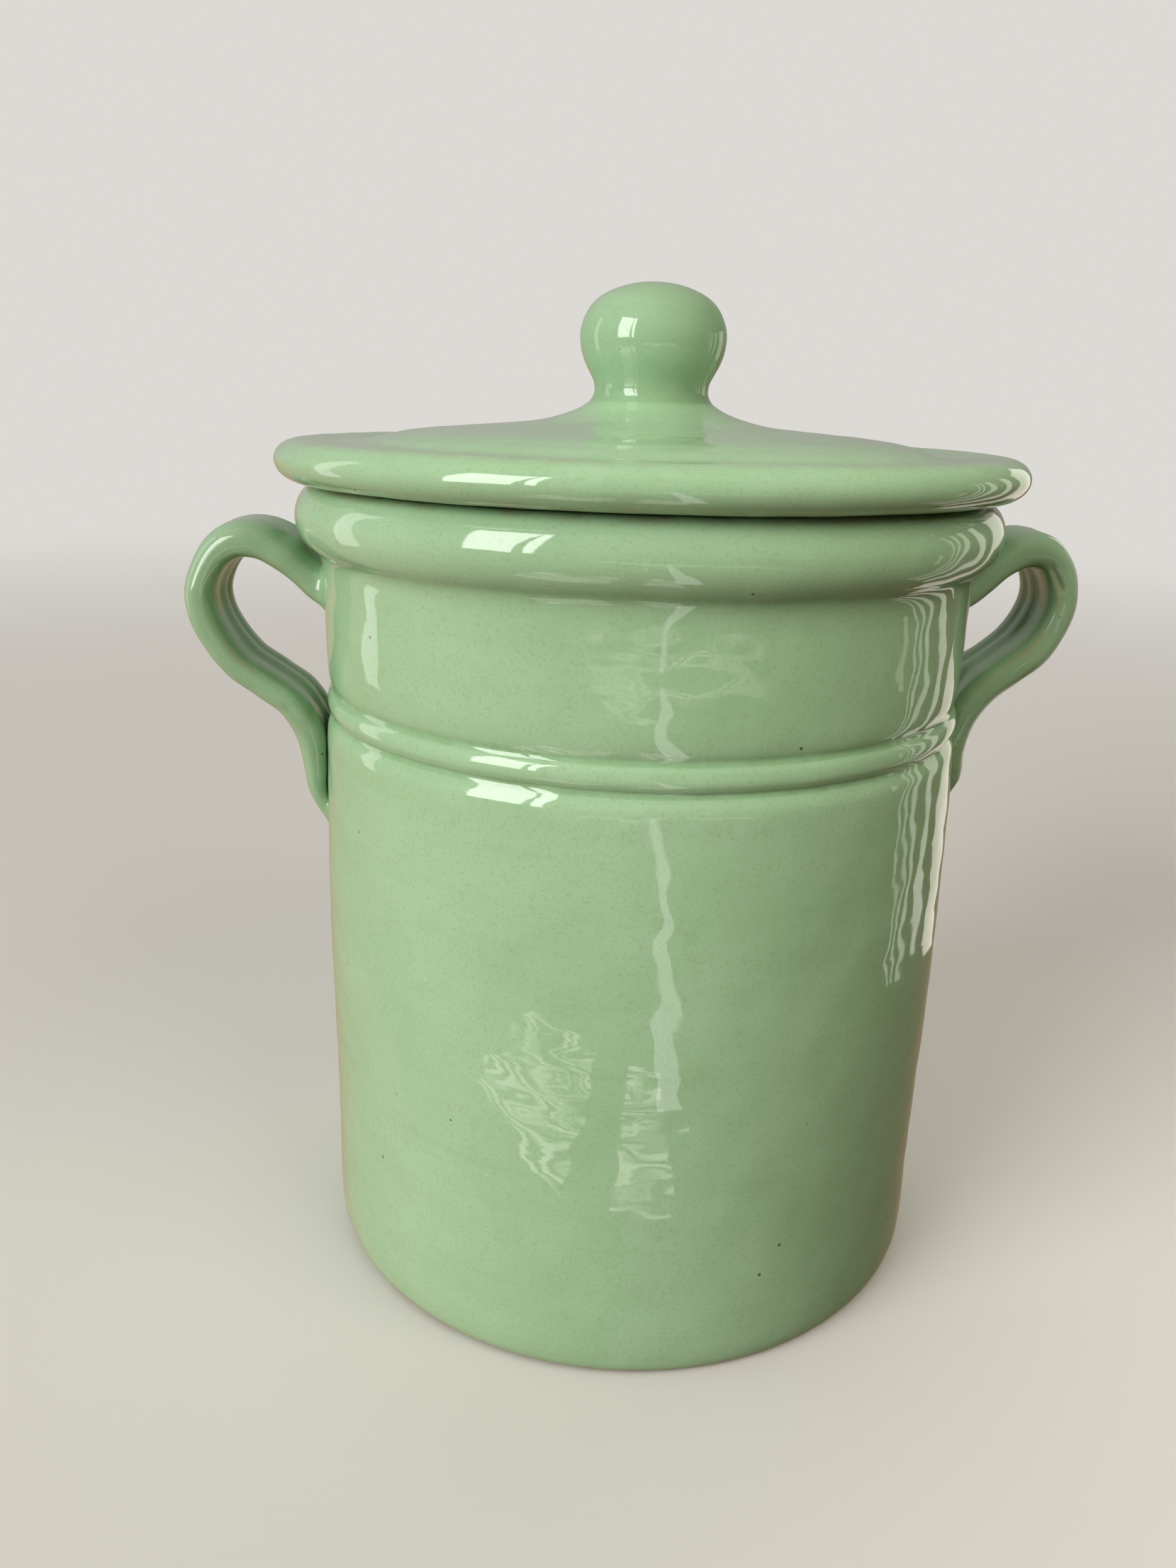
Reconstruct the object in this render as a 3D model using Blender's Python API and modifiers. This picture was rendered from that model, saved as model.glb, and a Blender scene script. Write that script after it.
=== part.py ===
"""Tall lidded crock with two strap handles, in glazed stoneware.

The pot is thrown, with a rolled rim and a ring band, and the handles are pulled straps. The lid
is a thrown plate with a rolled edge and a low dome, with a turned knob above and a locating
flange below. The origin is the centre of the foot, on the surface that the crock stands on,
+Z is up, and the handles lie along X. Lengths are in metres. Profile points are (radius, height).
"""
import math

import bmesh
import bpy
from mathutils import Vector

MM = 0.001

# Pot
BODY_RADIUS = 94.6 * MM
NECK_RADIUS = 93.0 * MM
WALL = 6.8 * MM
FLOOR = 9.0 * MM
FOOT_RING_WIDTH = 10.0 * MM
FOOT_RECESS = 2.0 * MM
RIM_RADIUS = 100.2 * MM
RIM_THICKNESS = 7.6 * MM
RIM_MIDDLE_Z = 223.4 * MM
RIM_HALF_HEIGHT = 9.2 * MM
RIM_TOP_Z = 232.8 * MM
MOUTH_RADIUS = 87.0 * MM
BAND_UPPER_LINE_Z = 175.8 * MM
BAND_LOWER_LINE_Z = 168.2 * MM
BAND_LINE_DEPTH = 1.5 * MM

# Lid
LID_RADIUS = 105.0 * MM
LID_EDGE_HALF_HEIGHT = 5.4 * MM
LID_EDGE_THICKNESS = 6.8 * MM
LID_UNDERSIDE_Z = RIM_TOP_Z + 0.4 * MM
LID_DISH_Z = LID_UNDERSIDE_Z + 9.7 * MM
DOME_SHOULDER_RADIUS = 66.0 * MM
DOME_SHOULDER_Z = LID_DISH_Z + 4.3 * MM
FLANGE_RADIUS = 84.5 * MM
FLANGE_WALL = 5.5 * MM
FLANGE_DEPTH = 12.0 * MM

# Knob
KNOB_FOOT_Z = 255.2 * MM
KNOB_FOOT_RADIUS = 17.8 * MM
KNOB_NECK_RADIUS = 16.1 * MM
KNOB_NECK_Z = 258.8 * MM
KNOB_RADIUS = 20.6 * MM
KNOB_WIDEST_Z = 273.2 * MM
KNOB_TOP_Z = 287.5 * MM

# Handles
STRAP_WIDTH = 29.4 * MM
STRAP_THICKNESS = 11.0 * MM
STRAP_HOLLOW = 1.6 * MM

# Fired clay is one mass where pieces join; the solids keep this gap between neighbours.
GAP = 0.3 * MM

TURN_STEPS = 64
KNOB_STEPS = 40
STRAP_STEPS_PER_SPAN = 2
STRAP_SECTION_POINTS = 16
MERGE_DISTANCE = 0.00005

GLAZE_GREEN = (0.30, 0.45, 0.25)
HANDLE_GREEN = (0.28, 0.43, 0.24)


def clear_scene():
    for old in list(bpy.data.objects):
        bpy.data.objects.remove(old, do_unlink=True)
    for old in list(bpy.data.collections):
        bpy.data.collections.remove(old)


def new_collection(name):
    collection = bpy.data.collections.new(name)
    bpy.context.scene.collection.children.link(collection)
    return collection


def glaze(name, colour):
    material = bpy.data.materials.new(name)
    material.use_nodes = True
    shader = material.node_tree.nodes["Principled BSDF"]
    shader.inputs["Base Color"].default_value = (*colour, 1.0)
    shader.inputs["Roughness"].default_value = 0.12
    shader.inputs["Metallic"].default_value = 0.0
    return material


def as_guide(piece):
    """Marks an object as a cutter, which shapes other pieces and isn't one itself."""
    piece.hide_render = True
    piece.display_type = "WIRE"
    return piece


def arc(centre, radii, start, end, count):
    """Points of an elliptical arc in a profile. Angles are in degrees, from +radius towards +Z."""
    points = []
    for i in range(count + 1):
        angle = math.radians(start + (end - start) * i / count)
        offset = (radii[0] * math.cos(angle), radii[1] * math.sin(angle))
        points.append((centre[0] + offset[0], centre[1] + offset[1]))
    return points


def smooth_through(points, steps):
    """A Catmull-Rom curve through the points, cut into that many steps per span."""
    knots = [Vector(p) for p in points]
    knots.insert(0, 2 * knots[0] - knots[1])
    knots.append(2 * knots[-1] - knots[-2])
    curve = []
    for a, b, c, d in zip(knots, knots[1:], knots[2:], knots[3:]):
        for i in range(steps):
            t = i / steps
            linear = (c - a) * t
            square = (2 * a - 5 * b + 4 * c - d) * t ** 2
            cube = (3 * b - a - 3 * c + d) * t ** 3
            curve.append((2 * b + linear + square + cube) / 2)
    curve.append(knots[-2])
    return curve


def offset_outward(profile, distance):
    """The same profile moved away from the clay, for a line that runs down the outer side."""
    moved = []
    for i, point in enumerate(profile):
        before = Vector(profile[max(i - 1, 0)])
        after = Vector(profile[min(i + 1, len(profile) - 1)])
        along = (after - before).normalized()
        moved.append((point[0] - along.y * distance, point[1] + along.x * distance))
    return moved


def turned(name, profile, collection, material=None, steps=TURN_STEPS, closed=False):
    """A solid of revolution about Z. The profile runs down its outer side, top to bottom."""
    vertices = [(radius, 0.0, z) for radius, z in profile]
    edges = [(i, i + 1) for i in range(len(vertices) - 1)]
    if closed:
        edges.append((len(vertices) - 1, 0))
    mesh = bpy.data.meshes.new(name)
    mesh.from_pydata(vertices, edges, [])
    if material:
        mesh.materials.append(material)
    piece = bpy.data.objects.new(name, mesh)
    collection.objects.link(piece)
    turn = piece.modifiers.new("turn", "SCREW")
    turn.axis = "Z"
    turn.angle = math.tau
    turn.steps = steps
    turn.render_steps = steps
    turn.use_merge_vertices = True
    turn.merge_threshold = MERGE_DISTANCE
    turn.use_smooth_shade = True
    return piece


def ring_band():
    """Two narrow valleys pressed round the wall, with a rounded bead between them."""
    valley_radius = NECK_RADIUS - BAND_LINE_DEPTH
    bead_z = (BAND_UPPER_LINE_Z + BAND_LOWER_LINE_Z) / 2
    bead_radii = (BAND_LINE_DEPTH + 0.3 * MM, BAND_UPPER_LINE_Z - bead_z)
    lip_above = [
        (NECK_RADIUS - 0.2 * MM, BAND_UPPER_LINE_Z + 5.0 * MM),
        (NECK_RADIUS - 0.8 * MM, BAND_UPPER_LINE_Z + 1.8 * MM),
    ]
    bead = arc((valley_radius, bead_z), bead_radii, 90, -90, 6)
    lip_below = [
        (NECK_RADIUS - 0.2 * MM, BAND_LOWER_LINE_Z - 1.4 * MM),
        (NECK_RADIUS + 0.5 * MM, BAND_LOWER_LINE_Z - 3.8 * MM),
    ]
    return lip_above + bead + lip_below


def rim_outside():
    centre = (RIM_RADIUS - RIM_THICKNESS, RIM_MIDDLE_Z)
    return arc(centre, (RIM_THICKNESS, RIM_HALF_HEIGHT), 78, -62, 9)


def wall_outside(band):
    """The outer line from under the rim to just above the foot, past the band's points."""
    neck = [
        (NECK_RADIUS + 1.9 * MM, 214.4 * MM),
        (NECK_RADIUS + 0.6 * MM, 211.4 * MM),
        (NECK_RADIUS, 204.0 * MM),
    ]
    belly = [
        (NECK_RADIUS + 0.7 * MM, 158.0 * MM),
        (BODY_RADIUS - 0.5 * MM, 142.0 * MM),
        (BODY_RADIUS, 120.0 * MM),
        (BODY_RADIUS + 0.2 * MM, 92.0 * MM),
        (BODY_RADIUS - 0.2 * MM, 60.0 * MM),
        (BODY_RADIUS - 0.3 * MM, 32.0 * MM),
        (BODY_RADIUS, 10.0 * MM),
    ]
    return neck + band + belly


def pot_profile():
    """From the middle of the floor, up the inside, over the rim, down the outside, in to the middle."""
    inner_radius = BODY_RADIUS - WALL
    corner = 12 * MM
    foot_radius = BODY_RADIUS - FOOT_RING_WIDTH
    inside = [(0.0, FLOOR)]
    inside += arc((inner_radius - corner, FLOOR + corner), (corner, corner), -90, 0, 4)
    inside += [
        (inner_radius, 120.0 * MM),
        (MOUTH_RADIUS - 0.8 * MM, 160.0 * MM),
        (MOUTH_RADIUS - 0.8 * MM, 208.0 * MM),
        (MOUTH_RADIUS, 218.0 * MM),
        (MOUTH_RADIUS, RIM_TOP_Z - 1.6 * MM),
        (MOUTH_RADIUS + 1.6 * MM, RIM_TOP_Z),
        (MOUTH_RADIUS + 5.0 * MM, RIM_TOP_Z),
    ]
    foot_edge = arc((BODY_RADIUS - 2.6 * MM, 2.4 * MM), (2.4 * MM, 2.4 * MM), 0, -90, 4)
    under = [(foot_radius, 0.0), (foot_radius - 1.5 * MM, FOOT_RECESS), (0.0, FOOT_RECESS)]
    return inside + rim_outside() + wall_outside(ring_band()) + foot_edge + under


def pot_envelope(cutters):
    """The whole pot as one solid without its hollow, a gap larger, to cut the handles' roots."""
    line = offset_outward(rim_outside() + wall_outside([]), GAP)
    line.insert(0, (0.0, line[0][1]))
    line.append((0.0, line[-1][1]))
    return as_guide(turned("pot_envelope", line, cutters))


def lid_profile():
    edge_centre = (LID_RADIUS - LID_EDGE_THICKNESS, LID_UNDERSIDE_Z + LID_EDGE_HALF_HEIGHT)
    sweep = [
        (KNOB_FOOT_RADIUS, KNOB_FOOT_Z),
        (20.6 * MM, 253.4 * MM),
        (24.6 * MM, 251.8 * MM),
        (30.5 * MM, 250.4 * MM),
        (38.0 * MM, 249.3 * MM),
        (54.0 * MM, 248.4 * MM),
    ]
    shoulder = [
        (DOME_SHOULDER_RADIUS, DOME_SHOULDER_Z),
        (DOME_SHOULDER_RADIUS + 6.5 * MM, DOME_SHOULDER_Z - 1.5 * MM),
        (DOME_SHOULDER_RADIUS + 14.0 * MM, LID_DISH_Z + 1.0 * MM),
        (DOME_SHOULDER_RADIUS + 19.0 * MM, LID_DISH_Z + 0.2 * MM),
        (DOME_SHOULDER_RADIUS + 25.0 * MM, LID_DISH_Z + 0.2 * MM),
    ]
    radii = (LID_EDGE_THICKNESS, LID_EDGE_HALF_HEIGHT)
    edge = arc(edge_centre, radii, 100, -90, 11)
    inside_flange = FLANGE_RADIUS - FLANGE_WALL
    underside = [
        (inside_flange - 2.0 * MM, LID_UNDERSIDE_Z),
        (70.0 * MM, LID_UNDERSIDE_Z + 4.0 * MM),
        (58.0 * MM, LID_UNDERSIDE_Z + 7.5 * MM),
        (38.0 * MM, LID_UNDERSIDE_Z + 9.0 * MM),
        (0.0, LID_UNDERSIDE_Z + 9.6 * MM),
    ]
    return [(0.0, KNOB_FOOT_Z)] + sweep + shoulder + edge + underside


def flange_profile():
    """A plain ring below the lid, with a rounded lower edge."""
    top = LID_UNDERSIDE_Z - GAP
    half = FLANGE_WALL / 2
    centre = (FLANGE_RADIUS - half, top - FLANGE_DEPTH + half)
    lower_edge = arc(centre, (half, half), 0, -180, 6)
    return [(FLANGE_RADIUS, top)] + lower_edge + [(FLANGE_RADIUS - FLANGE_WALL, top)]


def knob_profile():
    """A flattened ball on a short waisted neck."""
    foot = KNOB_FOOT_Z + GAP
    above = (KNOB_RADIUS, KNOB_TOP_Z - KNOB_WIDEST_Z)
    ball = arc((0.0, KNOB_WIDEST_Z), above, 90, 0, 7)
    neck = [
        (KNOB_RADIUS - 0.7 * MM, KNOB_WIDEST_Z - 5.6 * MM),
        (KNOB_NECK_RADIUS + 1.6 * MM, KNOB_NECK_Z + 4.2 * MM),
        (KNOB_NECK_RADIUS + 0.3 * MM, KNOB_NECK_Z + 1.6 * MM),
        (KNOB_NECK_RADIUS, KNOB_NECK_Z),
        (KNOB_FOOT_RADIUS - 0.4 * MM, foot + 0.8 * MM),
        (KNOB_FOOT_RADIUS, foot),
    ]
    return ball + neck + [(0.0, foot)]


def strap_section(width, thickness):
    """A rounded bar, hollowed along the side that faces the pot: (across, outward) offsets."""
    points = []
    for i in range(STRAP_SECTION_POINTS):
        angle = math.tau * i / STRAP_SECTION_POINTS
        cosine = math.cos(angle)
        sine = math.sin(angle)
        across = math.copysign(abs(cosine) ** 0.7, cosine) * width / 2
        outward = math.copysign(abs(sine) ** 0.7, sine) * thickness / 2
        if sine < 0:
            share = STRAP_HOLLOW * thickness / STRAP_THICKNESS
            outward += share * (1 - (2 * across / width) ** 2)
        points.append((across, outward))
    return points


def strap(name, stations, side, collection, material):
    """A strap lofted along its stations, each (radius, z, width, thickness) in millimetres."""
    line = smooth_through([Vector(s) * MM for s in stations], STRAP_STEPS_PER_SPAN)
    cage = bmesh.new()
    rings = []
    for i, (radius, z, width, thickness) in enumerate(line):
        after = line[min(i + 1, len(line) - 1)]
        before = line[max(i - 1, 0)]
        along = Vector((after[0] - before[0], after[1] - before[1])).normalized()
        out = Vector((-along.y, along.x))
        ring = []
        for across, outward in strap_section(width, thickness):
            place = (side * (radius + out.x * outward), across, z + out.y * outward)
            ring.append(cage.verts.new(place))
        rings.append(ring)
    for ring, following in zip(rings, rings[1:]):
        for i in range(STRAP_SECTION_POINTS):
            k = (i + 1) % STRAP_SECTION_POINTS
            cage.faces.new((ring[i], ring[k], following[k], following[i]))
    cage.faces.new(rings[0])
    cage.faces.new(rings[-1])
    bmesh.ops.recalc_face_normals(cage, faces=cage.faces)
    mesh = bpy.data.meshes.new(name)
    cage.to_mesh(mesh)
    cage.free()
    mesh.materials.append(material)
    mesh.shade_smooth()
    piece = bpy.data.objects.new(name, mesh)
    collection.objects.link(piece)
    return piece


def cut_by(piece, cutter):
    cut = piece.modifiers.new("root", "BOOLEAN")
    cut.operation = "DIFFERENCE"
    cut.solver = "EXACT"
    cut.object = cutter


def build_handles(parts, cutters):
    """Each strap leaves the neck under the rim, arches out and sweeps down to a pressed tail."""
    envelope = pot_envelope(cutters)
    wide = STRAP_WIDTH / MM
    thick = STRAP_THICKNESS / MM
    left = [
        (88.0, 198.6, wide + 4, thick - 0.5),
        (94.0, 202.0, wide + 2, thick),
        (98.8, 206.6, wide, thick),
        (104.0, 211.2, wide, thick + 0.4),
        (110.5, 214.6, wide, thick + 1),
        (117.0, 214.8, wide, thick + 1),
        (122.2, 211.6, wide, thick + 0.6),
        (126.0, 205.3, wide, thick + 0.2),
        (127.3, 199.0, wide, thick),
        (125.3, 190.2, wide, thick),
        (118.4, 179.6, wide, thick),
        (110.4, 173.8, wide, thick),
        (103.4, 168.3, wide + 1, thick),
        (98.4, 159.2, wide + 3, thick),
        (97.4, 149.2, wide + 4, thick - 2),
        (97.2, 141.9, wide + 3, thick - 4),
        (94.8, 135.4, wide, thick - 6),
        (89.0, 129.0, wide - 3, thick - 7),
    ]
    right = [
        (88.0, 200.6, wide + 4, thick - 2),
        (94.0, 203.8, wide + 2, thick - 1.5),
        (98.8, 208.4, wide, thick - 0.6),
        (104.0, 213.4, wide, thick),
        (110.4, 216.8, wide, thick + 1),
        (116.4, 216.2, wide, thick + 1.2),
        (120.4, 212.0, wide, thick + 1.2),
        (122.9, 206.4, wide, thick + 1),
        (123.2, 201.2, wide, thick + 0.8),
        (120.6, 194.6, wide, thick + 1),
        (116.4, 188.2, wide, thick + 1.4),
        (109.8, 182.4, wide, thick + 1.4),
        (102.8, 176.8, wide + 1, thick + 1),
        (97.4, 168.4, wide + 3, thick),
        (95.8, 158.0, wide + 4, thick - 2.6),
        (96.0, 151.0, wide + 3, thick - 3),
        (94.4, 144.0, wide, thick - 5),
        (88.0, 137.0, wide - 3, thick - 6),
    ]
    for name, stations, side in (("left_handle", left, -1), ("right_handle", right, 1)):
        material = glaze(name + "_glaze", HANDLE_GREEN)
        cut_by(strap(name, stations, side, parts, material), envelope)


def build_lid(parts):
    """The lid's pieces hang on an empty on the axis that the lid lifts along."""
    lift = bpy.data.objects.new("lid_lift", None)
    parts.objects.link(lift)
    lift.location.z = LID_UNDERSIDE_Z
    lid = turned("lid", lid_profile(), parts, glaze("lid_glaze", GLAZE_GREEN))
    material = glaze("lid_flange_glaze", GLAZE_GREEN)
    flange = turned("lid_flange", flange_profile(), parts, material, closed=True)
    material = glaze("knob_glaze", GLAZE_GREEN)
    knob = turned("lid_knob", knob_profile(), parts, material, steps=KNOB_STEPS)
    for piece in (lid, flange, knob):
        piece.parent = lift
        piece.location.z = -LID_UNDERSIDE_Z


def main():
    clear_scene()
    parts = new_collection("lidded_crock")
    cutters = new_collection("cutters")
    turned("pot_body", pot_profile(), parts, glaze("pot_glaze", GLAZE_GREEN))
    build_handles(parts, cutters)
    build_lid(parts)


main()
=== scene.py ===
import math

import bmesh
import bpy
import numpy as np
from mathutils import Matrix, Vector


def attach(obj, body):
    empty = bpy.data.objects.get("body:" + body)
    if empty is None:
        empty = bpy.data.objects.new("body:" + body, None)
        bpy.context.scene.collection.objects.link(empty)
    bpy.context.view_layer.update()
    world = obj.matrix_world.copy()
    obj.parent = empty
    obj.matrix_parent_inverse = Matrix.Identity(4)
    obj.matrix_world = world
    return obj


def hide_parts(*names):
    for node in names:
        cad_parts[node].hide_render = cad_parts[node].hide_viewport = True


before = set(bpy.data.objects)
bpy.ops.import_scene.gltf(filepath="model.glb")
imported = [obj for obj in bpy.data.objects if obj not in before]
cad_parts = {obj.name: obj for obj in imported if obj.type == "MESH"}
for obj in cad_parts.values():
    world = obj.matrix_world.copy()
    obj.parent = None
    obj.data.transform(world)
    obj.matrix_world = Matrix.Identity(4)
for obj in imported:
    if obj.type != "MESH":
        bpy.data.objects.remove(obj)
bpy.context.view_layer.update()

MM = 0.001

# Turned profiles are (radius, height) in millimetres. Each runs anticlockwise round the clay.
RIM_CENTRE = (92.6, 223.4)
RIM_RADII = (7.6, 9.2)
LID_UNDERSIDE_Z = 233.2
LID_EDGE_CENTRE = (98.2, 238.6)
LID_EDGE_RADII = (6.8, 5.4)
WALL_RADIUS = 94.0

# The lid's line is cut into lid and knob just above this height, with hidden caps of this depth.
KNOB_FOOT_Z = 255.3
CAP_DEPTH = 0.6

# Mesh fineness: points round a turn or a strap, steps in millimetres, bends in radians per step.
POT_SEGMENTS = 240
LID_SEGMENTS = 256
STRAP_AROUND = 88
STRAP_STEP = 0.8
FINE_STEP = 0.1
OUTER_BEND, OUTER_STEPS = 0.16, (0.3, 0.95)
INNER_BEND, INNER_STEPS = 0.3, (0.9, 3.0)
INNER_RADIUS = 87.9


def arc(centre, radii, start, end, count):
    """Points of an elliptical arc. Angles are in degrees, from +radius towards +Z."""
    angles = np.radians(np.linspace(start, end, count + 1))
    return [(centre[0] + radii[0] * math.cos(a), centre[1] + radii[1] * math.sin(a))
            for a in angles]


def step_lengths(line):
    """Lengths of a line's steps. Its first two columns are places, and any more ride along."""
    return np.linalg.norm(np.diff(line[:, :2], axis=0), axis=1)


def lengths_along(line):
    return np.concatenate([[0], np.cumsum(step_lengths(line))])


def tangents(line):
    tangent = np.gradient(line[:, :2], axis=0)
    return tangent / np.linalg.norm(tangent, axis=1)[:, None]


def sampled(line, known, wanted):
    """The line, whose points lie at the known lengths, read at the wanted ones."""
    return np.stack([np.interp(wanted, known, column) for column in line.T], axis=1)


def catmull(points, steps):
    """A centripetal Catmull-Rom curve through the points, cut into that many steps per span."""
    knots = np.array(points, float)
    knots = np.vstack([2 * knots[0] - knots[1], knots, 2 * knots[-1] - knots[-2]])
    gaps = np.maximum(np.sqrt(step_lengths(knots)), 1e-6)
    curve = []
    for i in range(1, len(knots) - 2):
        p0, p1, p2, p3 = knots[i - 1:i + 3]
        t1 = gaps[i - 1]
        t2 = t1 + gaps[i]
        t3 = t2 + gaps[i + 1]
        for t in np.linspace(t1, t2, steps, endpoint=False):
            a1 = p0 + (p1 - p0) * (t / t1)
            a2 = p1 + (p2 - p1) * ((t - t1) / (t2 - t1))
            a3 = p2 + (p3 - p2) * ((t - t2) / (t3 - t2))
            b1 = a1 + (a2 - a1) * (t / t2)
            b2 = a2 + (a3 - a2) * ((t - t1) / (t3 - t1))
            curve.append(b1 + (b2 - b1) * ((t - t1) / (t2 - t1)))
    curve.append(knots[-2])
    return np.array(curve)


def blur(values, reach):
    """A weighted moving average of a row of numbers, with its end values held on past the ends."""
    kernel = np.hanning(2 * reach + 3)[1:-1]
    kernel /= kernel.sum()
    padded = np.concatenate([values[:1].repeat(reach, 0), values, values[-1:].repeat(reach, 0)])
    return np.convolve(padded, kernel, "valid")


def respaced(line, spacing):
    """The same line with new points.

    spacing(line, bend) gives the step in millimetres at each point of the finely cut line.
    """
    line = line[np.concatenate([[True], step_lengths(line) > 1e-5])]
    along = lengths_along(line)
    fine = np.linspace(0, along[-1], int(along[-1] / FINE_STEP))
    line = sampled(line, along, fine)
    bend = blur(turn_rate(line[:, :2]), 6)
    density = 1 / spacing(line, np.abs(bend))
    total = np.cumsum((density[1:] + density[:-1]) / 2 * np.diff(fine))
    total = np.concatenate([[0], total])
    count = int(math.ceil(total[-1]))
    picked = np.interp(np.linspace(0, total[-1], count + 1), total, fine)
    return sampled(line, fine, picked)


def turn_rate(line):
    """Signed bend at each point of a plane line, in radians per millimetre."""
    heading = np.unwrap(np.arctan2(*np.gradient(line, axis=0).T[::-1]))
    length = np.linalg.norm(np.gradient(line, axis=0), axis=1)
    return np.gradient(heading) / np.maximum(length, 1e-6)


def bent_steps(bend, turn, limits):
    """Steps that each bend by the same angle, kept within limits."""
    return np.clip(turn / np.maximum(bend, 1e-3), *limits)


def turned_spacing(line, bend):
    """Fine steps where the profile bends, coarse ones on straight walls."""
    return bent_steps(bend, OUTER_BEND, OUTER_STEPS)


def pot_spacing(line, bend):
    """About the same, with long steps on the inside of the pot and under its foot."""
    hidden = line[:, 0] < INNER_RADIUS
    return np.where(hidden, bent_steps(bend, INNER_BEND, INNER_STEPS),
                    turned_spacing(line, bend) * 1.05)


def strap_spacing(line, bend):
    return np.full(len(line), STRAP_STEP)


class Waves:
    """A smooth random height field on a turned surface: a sum of waves with seeded phases.

    length is the mean wavelength in millimetres.
    """

    SPREAD = 0.55

    def __init__(self, seed, length, count=28):
        rng = np.random.default_rng(seed)
        size = math.tau / (length * rng.uniform(1 - self.SPREAD, 1 + self.SPREAD, count))
        angle = rng.uniform(0, math.tau, count)
        self.round = size * np.cos(angle)
        self.up = size * np.sin(angle)
        self.phase = rng.uniform(0, math.tau, count)
        self.scale = math.sqrt(2 / count)

    def __call__(self, theta, height, radius):
        """Heights of about unit size. The waves close up round the turn."""
        total = np.zeros(np.broadcast(theta, height).shape)
        for k_round, k_up, phase in zip(self.round, self.up, self.phase):
            laps = round(k_round * radius)
            total = total + np.cos(laps * theta + k_up * height + phase)
        return total * self.scale


def throwing_lines(seed, theta, along):
    """Shallow ridges left by the fingers as the clay turned, nearly level or slowly climbing."""
    rng = np.random.default_rng(seed)
    total = np.zeros(np.broadcast(theta, along).shape)
    for _ in range(14):
        length = rng.uniform(2.6, 11.0)
        climb = rng.integers(-1, 2)
        size = (length / 11.0) ** 0.8
        fade = 0.6 + 0.4 * np.cos(theta * rng.integers(1, 4) + rng.uniform(0, math.tau))
        wave = np.cos(math.tau * along / length + climb * theta + rng.uniform(0, math.tau))
        total = total + size * fade * wave
    return total / math.sqrt(14)


def add_attribute(mesh, name, values):
    layer = mesh.attributes.new(name, "FLOAT", "POINT")
    layer.data.foreach_set("value", np.asarray(values, np.float32).ravel())


def face_out(mesh):
    shell = bmesh.new()
    shell.from_mesh(mesh)
    bmesh.ops.recalc_face_normals(shell, faces=shell.faces)
    shell.to_mesh(mesh)
    shell.free()


def grid_object(name, points, first_pole=None, last_pole=None, attributes=(), sharp_ring=None):
    """A mesh from rings of points, closed round each ring, with an optional point at each end.

    sharp_ring is the ring at which shading breaks, because a hidden cap starts there.
    """
    rings, around = points.shape[:2]
    vertices = points.reshape(-1, 3)
    ring = np.arange(rings - 1)[:, None] * around
    step = np.arange(around)[None, :]
    following = (step + 1) % around
    corners = [ring + step, ring + around + step, ring + around + following, ring + following]
    quads = np.stack(corners, -1)
    faces = quads.reshape(-1, 4).tolist()
    extra = []
    if first_pole is not None:
        pole = len(vertices)
        extra.append(first_pole)
        faces += [(pole, i, (i + 1) % around) for i in range(around)]
    if last_pole is not None:
        pole = len(vertices) + len(extra)
        extra.append(last_pole)
        base = (rings - 1) * around
        faces += [(pole, base + (i + 1) % around, base + i) for i in range(around)]
    if extra:
        vertices = np.vstack([vertices, np.array(extra)])
    mesh = bpy.data.meshes.new(name)
    mesh.from_pydata(vertices.tolist(), [], faces)
    for key, values in attributes:
        values = np.asarray(values, float).reshape(-1)
        tail = []
        if first_pole is not None:
            tail.append(values[0])
        if last_pole is not None:
            tail.append(values[-1])
        add_attribute(mesh, key, np.concatenate([values, tail]))
    face_out(mesh)
    mesh.shade_smooth()
    if sharp_ring is not None:
        ends = np.empty(len(mesh.edges) * 2, np.int32)
        mesh.edges.foreach_get("vertices", ends)
        on_ring = (ends // around == sharp_ring) & (ends < rings * around)
        mesh.edges.foreach_set("use_edge_sharp", on_ring.reshape(-1, 2).all(axis=1))
    piece = bpy.data.objects.new(name, mesh)
    bpy.context.scene.collection.objects.link(piece)
    return piece


def smooth_step(low, high, value):
    t = np.clip((value - low) / (high - low), 0, 1)
    return t * t * (3 - 2 * t)


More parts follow.
